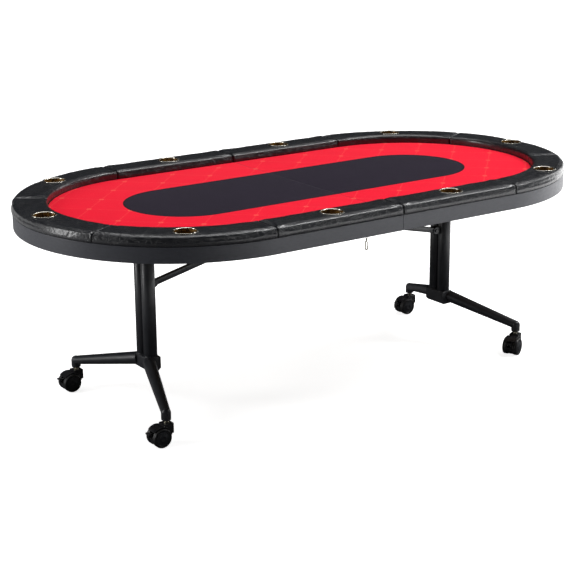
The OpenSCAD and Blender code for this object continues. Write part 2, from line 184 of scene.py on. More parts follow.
class Finish:
    """A material on the surface's own place, and short ways to add nodes to it"""

    def __init__(self, name, **settings):
        self.material = bpy.data.materials.new(f"{name}_finish")
        self.material.use_nodes = True
        self.tree = self.material.node_tree
        self.shader = self.tree.nodes["Principled BSDF"]
        for socket, value in settings.items():
            self.shader.inputs[socket.replace("_", " ")].default_value = value
        self.place = self.tree.nodes.new("ShaderNodeTexCoord").outputs["Object"]

    def link(self, source, target):
        self.tree.links.new(source, target)

    def feed(self, node, values):
        for socket, value in values.items():
            target = node.inputs[socket]
            if isinstance(value, bpy.types.NodeSocket):
                self.link(value, target)
            else:
                target.default_value = value

    def math(self, operation, first, second=0.0, third=0.0):
        node = self.tree.nodes.new("ShaderNodeMath")
        node.operation = operation
        self.feed(node, {0: first, 1: second, 2: third})
        return node.outputs[0]

    def ramp(self, value, low, high, start=0.0, end=1.0, smooth=True):
        node = self.tree.nodes.new("ShaderNodeMapRange")
        node.interpolation_type = "SMOOTHSTEP" if smooth else "LINEAR"
        self.feed(node, {"Value": value, "From Min": low, "From Max": high, "To Min": start, "To Max": end})
        return node.outputs["Result"]

    def mix(self, factor, first, second):
        node = self.tree.nodes.new("ShaderNodeMix")
        node.data_type = "RGBA"
        node.inputs["Factor"].default_value = 0.5
        self.link(factor, node.inputs["Factor"])
        for socket, colour in ((6, first), (7, second)):
            if isinstance(colour, bpy.types.NodeSocket):
                self.link(colour, node.inputs[socket])
            else:
                node.inputs[socket].default_value = (*colour, 1)
        return node.outputs[2]

    def noise(self, scale, detail=3.0, roughness=0.5, stretch=(1, 1, 1)):
        place = self.place
        if stretch != (1, 1, 1):
            mapping = self.tree.nodes.new("ShaderNodeMapping")
            mapping.inputs["Scale"].default_value = stretch
            self.link(place, mapping.inputs["Vector"])
            place = mapping.outputs["Vector"]
        node = self.tree.nodes.new("ShaderNodeTexNoise")
        self.feed(node, {"Vector": place, "Scale": scale, "Detail": detail, "Roughness": roughness})
        return node.outputs["Fac"]

    def cells(self, scale, feature="F1", place=None):
        node = self.tree.nodes.new("ShaderNodeTexVoronoi")
        node.feature = feature
        self.feed(node, {"Vector": place or self.place, "Scale": scale})
        return node.outputs["Distance"]

    def bump(self, *layers):
        """Layers are (height, strength, distance); each rides on the one before"""
        normal = None
        for height, strength, distance in layers:
            node = self.tree.nodes.new("ShaderNodeBump")
            self.feed(node, {"Height": height, "Strength": strength, "Distance": distance})
            if normal is not None:
                self.link(normal, node.inputs["Normal"])
            normal = node.outputs["Normal"]
        self.link(normal, self.shader.inputs["Normal"])

    def colour(self, value):
        self.link(value, self.shader.inputs["Base Color"])

    def rough(self, value):
        self.link(value, self.shader.inputs["Roughness"])


def shade(colour, factor):
    return tuple(min(1.0, c * factor) for c in colour)


def armrest_vinyl():
    f = Finish("armrest_vinyl", IOR=1.5, Coat_Weight=0.45, Coat_Roughness=0.16)
    tone = f.noise(14, 4)
    f.colour(f.mix(tone, shade(colours().vinyl, 0.75), shade(colours().vinyl, 1.4)))
    f.rough(f.ramp(f.noise(60, 5), 0.3, 0.7, 0.30, 0.46))
    pebble = f.cells(620, "SMOOTH_F1")
    pores = f.noise(1500, 2)
    folds = f.ramp(f.math("ABSOLUTE", f.math("SUBTRACT", f.noise(34, 4, 0.6), 0.5)), 0.0, 0.06)
    f.bump((folds, 0.55, 0.0018), (pebble, 0.45, 0.0004), (pores, 0.2, 0.0002))
    return f.material


def playing_cloth():
    f = Finish("playing_cloth", Sheen_Weight=0.05, Sheen_Roughness=0.4, IOR=1.4, Specular_IOR_Level=0.12)
    axes = f.tree.nodes.new("ShaderNodeSeparateXYZ")
    f.link(f.place, axes.inputs[0])
    x, y = axes.outputs[0], axes.outputs[1]
    half = sizes().lattice / 2
    rise = f.math("SUBTRACT", half, f.math("PINGPONG", f.math("ADD", x, y), half))
    fall = f.math("SUBTRACT", half, f.math("PINGPONG", f.math("SUBTRACT", x, y), half))
    nearest = f.math("MINIMUM", rise, fall)
    farthest = f.math("MAXIMUM", rise, fall)
    thread = f.noise(260, 2)
    broken = f.ramp(thread, 0.42, 0.6)
    line = f.math("MULTIPLY", f.ramp(nearest, 0.0036, 0.0014), f.math("MULTIPLY", broken, 0.42))
    mark = f.ramp(farthest, 0.0125, 0.0105)
    core = f.ramp(farthest, 0.0040, 0.0055)
    ring = f.math("MULTIPLY", mark, f.ramp(core, 0, 1, 0.25, 0.55))
    printed = f.math("MAXIMUM", line, ring)
    red = f.mix(f.noise(9, 3), shade(colours().cloth, 0.93), shade(colours().cloth, 1.05))
    pale = (1.0, 0.16, 0.11)
    cloth = f.mix(printed, red, pale)
    past_end = f.math("MAXIMUM", f.math("SUBTRACT", f.math("ABSOLUTE", x), sizes().field_straight), 0.0)
    reach = f.math("SQRT", f.math("ADD", f.math("MULTIPLY", past_end, past_end), f.math("MULTIPLY", y, y)))
    edge = sizes().field_radius
    inside = f.ramp(reach, edge + 0.0006, edge - 0.0006)
    border = f.math("MULTIPLY", f.ramp(reach, edge - 0.0075, edge - 0.0065), inside)
    dark = f.mix(f.noise(11, 3), shade(colours().field, 0.9), shade(colours().field, 1.15))
    dark = f.mix(border, dark, (0.012, 0.006, 0.009))
    f.colour(f.mix(inside, cloth, dark))
    f.rough(f.ramp(thread, 0, 1, 0.72, 0.9))
    weave = f.tree.nodes.new("ShaderNodeTexWave")
    f.feed(weave, {"Vector": f.place, "Scale": 420.0, "Distortion": 1.5, "Detail": 1.0})
    f.bump((weave.outputs["Fac"], 0.25, 0.0002), (f.noise(900, 3), 0.3, 0.0003))
    return f.material


def skirt_laminate():
    f = Finish("skirt_laminate", IOR=1.48, Coat_Weight=0.12, Coat_Roughness=0.35)
    grain = f.noise(55, 6, 0.65, (1, 1, 3))
    f.colour(f.mix(grain, shade(colours().skirt, 0.72), shade(colours().skirt, 1.3)))
    f.rough(f.ramp(f.noise(180, 4), 0.3, 0.7, 0.34, 0.5))
    f.bump((f.noise(700, 3), 0.3, 0.0003), (grain, 0.15, 0.0006))
    return f.material


def board():
    f = Finish("board", IOR=1.45, Roughness=0.7)
    chips = f.noise(220, 5, 0.7)
    light = f.mix(f.noise(16, 3), (0.36, 0.245, 0.135), (0.47, 0.33, 0.19))
    f.colour(f.mix(f.ramp(chips, 0.38, 0.62), (0.22, 0.14, 0.075), light))
    f.rough(f.ramp(chips, 0.3, 0.7, 0.62, 0.85))
    f.bump((chips, 0.35, 0.0005))
    return f.material


def stained_board():
    f = Finish("stained_board", IOR=1.45, Roughness=0.6)
    f.colour(f.mix(f.noise(220, 5, 0.7), (0.012, 0.012, 0.013), (0.03, 0.03, 0.032)))
    f.bump((f.noise(400, 3), 0.3, 0.0004))
    return f.material


def foam():
    f = Finish("foam", IOR=1.3, Roughness=0.95)
    f.colour(f.mix(f.noise(400, 3), (0.10, 0.10, 0.11), (0.16, 0.16, 0.17)))
    f.bump((f.cells(900), 0.5, 0.0006))
    return f.material


def metal(name, colour, low, high, stretch=(1, 1, 1), scale=90):
    f = Finish(name, Metallic=1.0)
    blotch = f.noise(scale, 4, 0.6, stretch)
    f.colour(f.mix(blotch, shade(colour, 0.86), shade(colour, 1.1)))
    f.rough(f.ramp(blotch, 0.3, 0.7, low, high))
    f.bump((f.noise(scale * 6, 3, 0.5, stretch), 0.05, 0.00005))
    return f.material


def cup_steel():
    return metal("cup_steel", (0.86, 0.82, 0.72), 0.20, 0.30, (1, 1, 6), 60)


def cup_lining():
    f = Finish("cup_lining", IOR=1.5, Metallic=0.35, Coat_Weight=0.2, Coat_Roughness=0.2)
    tarnish = f.noise(70, 4, 0.6)
    f.colour(f.mix(f.ramp(tarnish, 0.38, 0.62), (0.055, 0.026, 0.008), (0.30, 0.155, 0.030)))
    f.rough(f.ramp(tarnish, 0.3, 0.7, 0.32, 0.5))
    f.bump((f.noise(300, 3), 0.1, 0.0001))
    return f.material


def zinc_steel():
    return metal("zinc_steel", (0.48, 0.45, 0.36), 0.28, 0.46)


def wheel_rubber():
    f = Finish("wheel_rubber", IOR=1.5, Coat_Weight=0.1, Coat_Roughness=0.3)
    dust = f.noise(35, 4)
    f.colour(f.mix(dust, (0.010, 0.010, 0.011), (0.022, 0.022, 0.023)))
    f.rough(f.ramp(dust, 0.3, 0.7, 0.38, 0.55))
    f.bump((f.noise(1100, 3), 0.25, 0.0002))
    return f.material


def caster_plastic():
    f = Finish("caster_plastic", IOR=1.49, Coat_Weight=0.2, Coat_Roughness=0.15)
    haze = f.noise(50, 4)
    f.colour(f.mix(haze, (0.011, 0.011, 0.013), (0.020, 0.020, 0.023)))
    f.rough(f.ramp(haze, 0.3, 0.7, 0.24, 0.36))
    f.bump((f.noise(1300, 2), 0.12, 0.0002))
    return f.material


def wheel_cap():
    f = Finish("wheel_cap", IOR=1.49)
    haze = f.noise(50, 4)
    f.colour(f.mix(haze, (0.024, 0.026, 0.031), (0.036, 0.038, 0.044)))
    f.rough(f.ramp(haze, 0.3, 0.7, 0.34, 0.48))
    f.bump((f.noise(1300, 2), 0.2, 0.0002))
    return f.material


def powder_coat():
    f = Finish("powder_coat", IOR=1.5, Coat_Weight=0.15, Coat_Roughness=0.3)
    tone = f.noise(30, 4)
    f.colour(f.mix(tone, shade(colours().powder, 0.8), shade(colours().powder, 1.3)))
    f.rough(f.ramp(tone, 0.3, 0.7, 0.32, 0.44))
    f.bump((f.noise(850, 2), 0.28, 0.0003))
    return f.material


FINISHES = {
    finish.__name__: finish for finish in (
        armrest_vinyl, playing_cloth, skirt_laminate, board, stained_board, foam, cup_steel, cup_lining,
        zinc_steel, wheel_rubber, caster_plastic, wheel_cap, powder_coat)
}


def finish_named(name):
    return bpy.data.materials.get(f"{name}_finish") or FINISHES[name]()


# ---------------------------------------------------------------- making and shaping

def link_piece(name, mesh, body, finishes, nodes=(), smooth=35):
    """Puts a finished mesh in the scene, on its body and in place of its CAD nodes"""
    mesh.shade_smooth()
    mesh.set_sharp_from_angle(angle=radians(smooth))
    for finish in finishes:
        mesh.materials.append(finish_named(finish))
    piece = bpy.data.objects.new(name, mesh)
    bpy.context.scene.collection.objects.link(piece)
    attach(piece, body)
    if nodes:
        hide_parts(*nodes)
    return piece


def new_piece(name, bm, body, *finishes, nodes=(), flip=(1, 1), smooth=35):
    """Closes and mirrors a bmesh as asked, and makes it a piece"""
    bmesh.ops.remove_doubles(bm, verts=bm.verts, dist=1e-6)
    if flip != (1, 1):
        bmesh.ops.scale(bm, vec=(*flip, 1), verts=bm.verts)
    bmesh.ops.recalc_face_normals(bm, faces=bm.faces)
    mesh = bpy.data.meshes.new(name)
    bm.to_mesh(mesh)
    bm.free()
    return link_piece(name, mesh, body, finishes, nodes, smooth)


def level(piece):
    """Keeps the large faces beside a rounded edge evenly shaded"""
    piece.modifiers.new("Level", "WEIGHTED_NORMAL").keep_sharp = True
    return piece


def bodies_of(side):
    """The two bodies of one side: its half of the top, and its leg"""
    return f"{side}_top", f"{side}_leg"


def parts_of(faces):
    """Faces with their edges and corners, as the operators want them"""
    edges = {edge for face in faces for edge in face.edges}
    corners = {corner for face in faces for corner in face.verts}
    return [*faces, *edges, *corners]


def only(kind, geometry):
    return [item for item in geometry if isinstance(item, kind)]


def push(bm, faces, offset):
    """Extrudes faces by an offset and returns the new ones"""
    made = bmesh.ops.extrude_face_region(bm, geom=faces)["geom"]
    bmesh.ops.translate(bm, verts=only(bmesh.types.BMVert, made), vec=offset)
    return only(bmesh.types.BMFace, made)


def turn(bm, faces, centre, angle, steps):
    """Spins faces about an upright line and returns the last ones"""
    made = bmesh.ops.spin(
        bm, geom=parts_of(faces), cent=centre, axis=Z_AXIS, angle=angle, steps=steps, use_duplicate=False)
    return only(bmesh.types.BMFace, made["geom_last"])


def flat_face(bm, corners):
    return bm.faces.new([bm.verts.new(corner) for corner in corners])


def round_corner(bm, corner, radius, segments=5):
    bmesh.ops.bevel(
        bm, geom=[corner], offset=radius, offset_type="OFFSET", segments=segments, profile=0.5,
        affect="VERTICES", material=-1)


def bevel_sharp(bm, width, segments=2, angle=30):
    """Rounds every edge that is sharper than an angle"""
    sharp = [e for e in bm.edges if e.is_manifold and e.calc_face_angle() > radians(angle)]
    bmesh.ops.bevel(
        bm, geom=sharp, offset=width, offset_type="OFFSET", segments=segments, profile=0.5,
        affect="EDGES", clamp_overlap=False, material=-1)


def half_ring(bm, face, steps=72):
    """Sweeps a face at the seam along the front, round the end and back to the seam"""
    run = Vector((STRAIGHT - SEAM, 0, 0))
    faces = push(bm, [face], run)
    faces = turn(bm, faces, (STRAIGHT, 0, 0), pi, steps)
    push(bm, faces, -run)


def half_plate(bm, radius, height, segments=144):
    """A flat face with the outline of half the table top"""
    bmesh.ops.create_circle(
        bm, cap_ends=True, segments=segments, radius=radius, matrix=Matrix.Translation((STRAIGHT, 0, height)))
    bmesh.ops.bisect_plane(
        bm, geom=[*bm.verts, *bm.edges, *bm.faces], dist=1e-6, plane_co=(STRAIGHT, 0, 0),
        plane_no=(1, 0, 0), clear_inner=True)
    cut = [e for e in bm.edges if all(abs(v.co.x - STRAIGHT) < 1e-5 for v in e.verts)]
    made = bmesh.ops.extrude_edge_only(bm, edges=cut)["geom"]
    bmesh.ops.translate(bm, verts=only(bmesh.types.BMVert, made), vec=(SEAM - STRAIGHT, 0, 0))
    return list(bm.faces)


def arc(centre, radius, start, end, steps):
    """Points of an arc, as (across, up) pairs, with its angles in degrees"""
    turns = (radians(start + (end - start) * i / steps) for i in range(steps + 1))
    return [(centre[0] + radius * cos(a), centre[1] + radius * sin(a)) for a in turns]


def lathe(bm, outline, matrix, steps=64):
    """Spins (radius, height) points about the matrix's own Z axis"""
    corners = [bm.verts.new((radius, 0, height)) for radius, height in outline]
    edges = [bm.edges.new(pair) for pair in zip(corners, corners[1:])]
    known = set(bm.verts) - set(corners)
    bmesh.ops.spin(
        bm, geom=[*corners, *edges], cent=(0, 0, 0), axis=Z_AXIS, angle=2 * pi, steps=steps,
        use_merge=True, use_duplicate=False)
    turned = [v for v in bm.verts if v not in known]
    bmesh.ops.remove_doubles(bm, verts=turned, dist=1e-6)
    turned = [v for v in bm.verts if v not in known]
    bmesh.ops.transform(bm, matrix=matrix, verts=turned)


def facing(direction, place=(0, 0, 0)):
    """A matrix whose Z axis points in a direction"""
    turned = Vector(direction).to_track_quat("Z", "Y").to_matrix().to_4x4()
    return Matrix.Translation(place) @ turned


def wire(bm, points, radius, closed=False, sides=10):
    """Adds a round wire along points"""
    curve = bpy.data.curves.new("wire", "CURVE")
    curve.dimensions = "3D"
    curve.bevel_depth = radius
    curve.bevel_resolution = sides // 2 - 1
    curve.use_fill_caps = not closed
    spline = curve.splines.new("POLY")
    spline.points.add(len(points) - 1)
    for point, place in zip(spline.points, points):
        point.co = (*place, 1)
    spline.use_cyclic_u = closed
    holder = bpy.data.objects.new("wire", curve)
    mesh = bpy.data.meshes.new_from_object(holder)
    bm.from_mesh(mesh)
    bpy.data.objects.remove(holder)
    bpy.data.curves.remove(curve)
    bpy.data.meshes.remove(mesh)


def softened(node, body, finish, width=None, also=None, name=None):
    """A copy of a CAD casting or pressing with its edges rounded, which stands for the node"""
    bm = bmesh.new()
    bm.from_mesh(frame["nodes"][node].data)
    bmesh.ops.remove_doubles(bm, verts=bm.verts, dist=1e-5)
    bmesh.ops.dissolve_limit(bm, angle_limit=radians(1), verts=bm.verts, edges=bm.edges)
    bevel_sharp(bm, width or sizes().soft_edge, 2, 35)
    if also:
        for face in bm.faces:
            face.material_index = int(also[1](face.calc_center_median()))
    finishes = (finish, also[0]) if also else (finish,)
    return level(new_piece(name or f"{node}_body", bm, body, *finishes, nodes=(node,)))


def dress(node, finish):
    """Gives a CAD node that stays a finish"""
    piece = frame["nodes"][node]
    material = finish_named(finish)
    if not piece.material_slots:
        piece.data.materials.append(material)
    for place in piece.material_slots:
        place.material = material


def screw_heads(bm, places, direction, radius, height):
    """Round screw heads with a socket, on points of a face"""
    socket = radius * 0.45
    for place in places:
        outline = [
            (0, 0), (radius, 0), *arc((radius - height * 0.6, height * 0.4), height * 0.6, 0, 90, 3),
            (socket, height), (socket * 0.9, height * 0.45), (0, height * 0.45)]
        lathe(bm, outline, facing(direction, place), 16)


# ---------------------------------------------------------------- armrest

def swell(piece, cap, pressure=4.0, frames=20):
    """Blows a closed mesh up as cloth, its underside held, and keeps each point within a cap"""
    scene = bpy.context.scene
    mesh = piece.data
    rest = np.empty(len(mesh.vertices) * 3)
    mesh.vertices.foreach_get("co", rest)
    rest = rest.reshape(-1, 3)
    held = piece.vertex_groups.new(name="held")
    held.add([int(i) for i in np.nonzero(rest[:, 2] < BASE_TOP + 3 * MM)[0]], 1.0, "REPLACE")
    cloth = piece.modifiers.new("Swell", "CLOTH")
    cloth.settings.vertex_group_mass = held.name
    cloth.settings.use_pressure = True
    cloth.settings.uniform_pressure_force = pressure
    cloth.settings.effector_weights.gravity = 0
    cloth.point_cache.frame_start = 1
    cloth.point_cache.frame_end = frames
    for step in range(1, frames + 1):
        scene.frame_set(step)
    shown = piece.evaluated_get(bpy.context.evaluated_depsgraph_get()).to_mesh()
    moved = np.empty(len(mesh.vertices) * 3)
    shown.vertices.foreach_get("co", moved)
    step = moved.reshape(-1, 3) - rest
    length = np.linalg.norm(step, axis=1, keepdims=True)
    step *= np.minimum(1, cap / np.maximum(length, 1e-9))
    piece.modifiers.remove(cloth)
    piece.vertex_groups.remove(held)
    mesh.vertices.foreach_set("co", (rest + step).ravel())
    mesh.update()
    scene.frame_set(1)


def applied(piece):
    """The piece's mesh with its modifiers applied"""
    depsgraph = bpy.context.evaluated_depsgraph_get()
    depsgraph.update()
    return bpy.data.meshes.new_from_object(piece.evaluated_get(depsgraph))


def pad_section(bm, slack):
    """The armrest's section across its front run: a groove below for its base, round shoulders above"""
    outer, inner = -HALF_WIDTH + slack, -HALF_WIDTH + RAIL_WIDTH - slack
    top = RAIL_TOP - slack
    wall = BASE_INSET - slack
    outline = (
        (outer, RAIL_Z), (outer, top), (inner, top), (inner, RAIL_Z), (inner - wall, RAIL_Z),
        (inner - wall, BASE_TOP), (outer + wall, BASE_TOP), (outer + wall, RAIL_Z))
    face = flat_face(bm, [(SEAM, across, up) for across, up in outline])
    corners = list(face.verts)
    for corner, radius in ((corners[0], 5 * MM), (corners[1], 12 * MM), (corners[2], 10 * MM)):
        round_corner(bm, corner, radius)
    return list(bm.faces)


def base_pad(arched):
    """One armrest pad, swollen: the front run of the right half, or the arc at its end"""
    bm = bmesh.new()
    faces = pad_section(bm, sizes().pad_slack)
    if arched:
        side_angle = PAD_ARC / 2
        gap = PAD_GAP / HALF_WIDTH
        shift = Matrix.Translation((STRAIGHT - SEAM, 0, 0))
        bmesh.ops.transform(bm, matrix=shift, verts=bm.verts)
        start = Matrix.Rotation(pi / 2 - side_angle + gap, 3, "Z")
        bmesh.ops.rotate(bm, cent=(STRAIGHT, 0, 0), matrix=start, verts=bm.verts)
        turn(bm, faces, (STRAIGHT, 0, 0), PAD_ARC - 2 * gap, 30)
    else:
        push(bm, faces, (STRAIGHT - SEAM - PAD_GAP, 0, 0))
    caps = [face for face in bm.faces if len(face.verts) > 8]
    rims = [e for face in caps for e in face.edges if max(v.co.z for v in e.verts) > BASE_TOP + 2 * MM]
    bmesh.ops.bevel(
        bm, geom=rims, offset=sizes().pad_end_round, offset_type="OFFSET", segments=4, profile=0.5,
        affect="EDGES", clamp_overlap=True, material=-1)
    bmesh.ops.recalc_face_normals(bm, faces=bm.faces)
    mesh = bpy.data.meshes.new("pad")
    bm.to_mesh(mesh)
    bm.free()
    piece = bpy.data.objects.new("pad", mesh)
    bpy.context.scene.collection.objects.link(piece)
    remesh = piece.modifiers.new("Remesh", "REMESH")
    remesh.mode = "VOXEL"
    remesh.voxel_size = sizes().pad_mesh
    piece.data = applied(piece)
    piece.modifiers.clear()
    swell(piece, sizes().pad_swell)
    finer = piece.modifiers.new("Finer", "SUBSURF")
    finer.levels = finer.render_levels = 1
    piece.data = applied(piece)
    piece.modifiers.clear()
    return piece


def crease(mesh, number, depth):
    """Lays the cover in fine creases and soft dents, different on each pad"""
    seed = Vector((7.3, 3.1, 1.7)) * (number + 1)
    places = np.empty(len(mesh.vertices) * 3)
    mesh.vertices.foreach_get("co", places)
    normals = np.empty(len(mesh.vertices) * 3)
    mesh.vertex_normals.foreach_get("vector", normals)
    places, normals = places.reshape(-1, 3), normals.reshape(-1, 3)
    heights = np.zeros(len(places))
    for i, place in enumerate(places):
        if place[2] < RAIL_Z + 6 * MM:
            continue
        point = Vector(place)
        bend = noise.noise_vector(point * 9 + seed) * 0.35
        fold = abs(noise.noise((point * 26 + seed) + bend * 3))
        line = max(0.0, 1 - fold * 9) * max(0.0, 0.35 + noise.noise(point * 7 - seed))
        dent = noise.noise(point * 11 + seed)
        heights[i] = -line * depth + dent * depth * 0.8
    ramp = np.clip((places[:, 2] - RAIL_Z - 6 * MM) / (8 * MM), 0, 1)
    places += normals * (heights * ramp)[:, None]
    places[:, 2] = np.minimum(places[:, 2], RAIL_TOP)
    mesh.vertices.foreach_set("co", places.ravel())
    mesh.update()


def cup_places():
    """Centres of the cup holders of the right half, by name"""
    inset = HALF_WIDTH - (CUP_HIGH.x - STRAIGHT - cup_rim())
    reach = HALF_WIDTH - inset
    spots = {"end": (STRAIGHT + reach, 0)}
    for end, sign in ENDS:
        spots[end] = (STRAIGHT / 2, sign * reach)
        spots[f"{end}_corner"] = (STRAIGHT + reach * cos(PAD_ARC), sign * reach * sin(PAD_ARC))
    return spots


def cup_rim():
    """Radius of a cup holder's rim"""
    return STRAIGHT / 2 - CUP_LOW.x


def make_armrest():
    straight, arched = base_pad(False), base_pad(True)
    cutter_mesh = bpy.data.meshes.new("cutter")
    cutter = bpy.data.objects.new("cutter", cutter_mesh)
    bpy.context.scene.collection.objects.link(cutter)
    bore = cup_rim() - 4.5 * MM
    number = 0
    for side, sx in SIDES:
        for place, (x, y) in cup_places().items():
            base = straight if place in ("front", "back") else arched
            mesh = base.data.copy()
            if base is straight:
                mirror = Matrix.Diagonal((sx, -1 if place == "back" else 1, 1, 1))
            else:
                centre = Matrix.Translation((STRAIGHT, 0, 0))
                swing = {"end": 0, "front_corner": -PAD_ARC, "back_corner": PAD_ARC}[place]
                about_end = centre @ Matrix.Rotation(swing, 4, "Z") @ centre.inverted()
                mirror = Matrix.Diagonal((sx, 1, 1, 1)) @ about_end
            mesh.transform(mirror)
            if mirror.determinant() < 0:
                mesh.flip_normals()
            crease(mesh, number, sizes().crease_depth)
            bm = bmesh.new()
            bmesh.ops.create_cone(
                bm, cap_ends=True, segments=72, radius1=bore, radius2=bore, depth=0.12,
                matrix=Matrix.Translation((sx * x, y, RAIL_TOP)))
            bm.to_mesh(cutter_mesh)
            bm.free()
            holder = bpy.data.objects.new("holder", mesh)
            bpy.context.scene.collection.objects.link(holder)
            cut = holder.modifiers.new("Cup bore", "BOOLEAN")
            cut.operation = "DIFFERENCE"
            cut.solver = "EXACT"
            cut.object = cutter
            mesh = applied(holder)
            bpy.data.objects.remove(holder)
            pad = link_piece(
                f"{side}_{place}_armrest", mesh, bodies_of(side)[0], ("armrest_vinyl",),
                (f"{side}_{place}_pad",), 50)
            number += 1
    for leftover in (straight, arched, cutter):
        bpy.data.objects.remove(leftover)


# ---------------------------------------------------------------- top

def make_playing_field():
    thickness = sizes().cloth_thickness
    foam_top = FELT_HIGH.z - thickness - 0.1 * MM
    lip = 3 * MM
    for side, sx in SIDES:
        top = bodies_of(side)[0]
        bm = bmesh.new()
        push(bm, half_plate(bm, FELT_RADIUS - 1.5 * MM, FELT_LOW.z), (0, 0, foam_top - FELT_LOW.z))
        bevel_sharp(bm, 1 * MM)
        under = new_piece(f"{side}_foam", bm, top, "foam", nodes=(f"{side}_felt",), flip=(sx, 1))
        bm = bmesh.new()
        half_plate(bm, FELT_RADIUS - 0.3 * MM, FELT_HIGH.z)
        bmesh.ops.dissolve_faces(bm, faces=bm.faces)
        bm.normal_update()
        for width in (lip * 0.4, lip * 0.6):
            middle = max(bm.faces, key=lambda f: f.calc_area())
            bmesh.ops.inset_region(
                bm, faces=[middle], thickness=width, use_boundary=True, use_even_offset=True)
        rim = {v for e in bm.edges if e.is_boundary for v in e.verts}
        bmesh.ops.translate(bm, verts=list(rim), vec=(0, 0, -lip * 0.7))
        next_rim = {e.other_vert(v) for v in rim for e in v.link_edges} - rim
        bmesh.ops.translate(bm, verts=list(next_rim), vec=(0, 0, -lip * 0.12))
        cloth = new_piece(
            f"{side}_cloth", bm, top, "playing_cloth", nodes=(f"{side}_felt",), flip=(sx, 1), smooth=80)
        if max(cloth.data.polygons, key=lambda p: p.area).normal.z < 0:
            cloth.data.flip_normals()
        thick = cloth.modifiers.new("Thickness", "SOLIDIFY")
        thick.thickness = thickness
        thick.offset = -1
        width = 2 * FELT_RADIUS


def make_skirts():
    for side, sx in SIDES:
        bm = bmesh.new()
        outer, inner = -HALF_WIDTH + SKIRT_INSET, -HALF_WIDTH + SKIRT_INNER
        face = flat_face(bm, [
            (SEAM, outer, SKIRT_LOW.z), (SEAM, inner, SKIRT_LOW.z),
            (SEAM, inner, SKIRT_HIGH.z), (SEAM, outer, SKIRT_HIGH.z)])
        half_ring(bm, face)
        bevel_sharp(bm, sizes().skirt_edge)
        level(new_piece(
            f"{side}_skirt", bm, bodies_of(side)[0], "skirt_laminate",
            nodes=(f"{side}_apron",), flip=(sx, 1)))


def make_cups():
    rim = cup_rim()
    body = rim - 5 * MM
    lining = body - 1.2 * MM
    foot = CUP_LOW.z
    top = RAIL_TOP
    crest = CUP_HIGH.z
    outline = [
        (0, foot), *arc((body - 3 * MM, foot + 3 * MM), 3 * MM, -90, 0, 4), (body, top),
        (rim - 0.6 * MM, top), *arc((rim - 0.8 * MM, crest - 0.8 * MM), 0.8 * MM, 0, 90, 4),
        *arc((lining + 2.2 * MM, crest - 2.2 * MM), 2.2 * MM, 90, 180, 5),
        *arc((lining - 4 * MM, foot + 5.2 * MM), 4 * MM, 0, -90, 5), (lining * 0.55, foot + 1.2 * MM),
        (lining * 0.52, foot + 2 * MM), (0, foot + 2 * MM)]
    for side, sx in SIDES:
        bm = bmesh.new()
        for x, y in cup_places().values():
            lathe(bm, outline, Matrix.Translation((x, y, 0)), 80)
        spots = [Vector(spot) for spot in cup_places().values()]
        for face in bm.faces:
            centre = face.calc_center_median()
            reach = min((centre.xy - spot).length for spot in spots)
            within = reach < lining + 0.1 * MM
            face.material_index = int(within and foot + 0.8 * MM < centre.z < crest - 2.2 * MM)
        new_piece(
            f"{side}_cups", bm, bodies_of(side)[0], "cup_steel", "cup_lining",
            nodes=(f"{side}_cup_holders",), flip=(sx, 1), smooth=40)


def make_seam_shade_sheet(side, sx):
    """A thin dark sheet in the gap where the two halves meet: painted shade for the dark seam, which also
    keeps light from below out of the gap
    """
    bm = bmesh.new()
    gap = 0.05 * MM
    rail = RAIL_WIDTH - BASE_INSET
    edge = -BASE_LOW.y
    for y0, y1, z0, z1 in (
            (DECK_LOW.y, DECK_HIGH.y, DECK_LOW.z, DECK_HIGH.z),
            (-edge, rail - HALF_WIDTH, DECK_HIGH.z, BASE_TOP),
            (HALF_WIDTH - rail, edge, DECK_HIGH.z, BASE_TOP)):
        face = flat_face(bm, [(gap, y0, z0), (gap, y1, z0), (gap, y1, z1), (gap, y0, z1)])
        push(bm, [face], (SEAM - gap, 0, 0))
    # The sheet's dark board colour is painted shade in the seam gap
    new_piece(f"{side}_seam_edging", bm, bodies_of(side)[0], "stained_board", flip=(sx, 1))


def make_boards():
    for side, sx in SIDES:
        top = bodies_of(side)[0]
        dress(f"{side}_deck", "board")
        dress(f"{side}_rail_base", "stained_board")
        softened(f"{side}_seam_beam", top, "board", 1.2 * MM)
        low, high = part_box(f"{side}_seam_beam")
        middle = (low.x + high.x) / 2
        # Adds the dark sheet of painted shade in the seam gap
        make_seam_shade_sheet(side, sx)
        bm = bmesh.new()
        spots = [(middle, y, low.z) for y in (-0.5, -0.3, -0.05, 0.05, 0.3, 0.5)]
        screw_heads(bm, spots, (0, 0, -1), 3.6 * MM, 1.6 * MM)
        new_piece(f"{side}_beam_screws", bm, top, "zinc_steel")


def make_hinges():
    dress("hinge_pins", "zinc_steel")
    for side, sx in SIDES:
        top = bodies_of(side)[0]
        softened(f"{side}_hinge_leaves", top, "zinc_steel", 0.4 * MM)
        under = SKIRT_LOW.z - 2.5 * MM
        pattern = ((0.018, 0.020), (0.018, -0.020), (0.032, 0))
        spots = [(sx * x, y + aside, under) for y in HINGE_PLACES for x, aside in pattern]
        bm = bmesh.new()
        screw_heads(bm, spots, (0, 0, -1), 4 * MM, 1.6 * MM)
        new_piece(f"{side}_hinge_screws", bm, top, "zinc_steel")


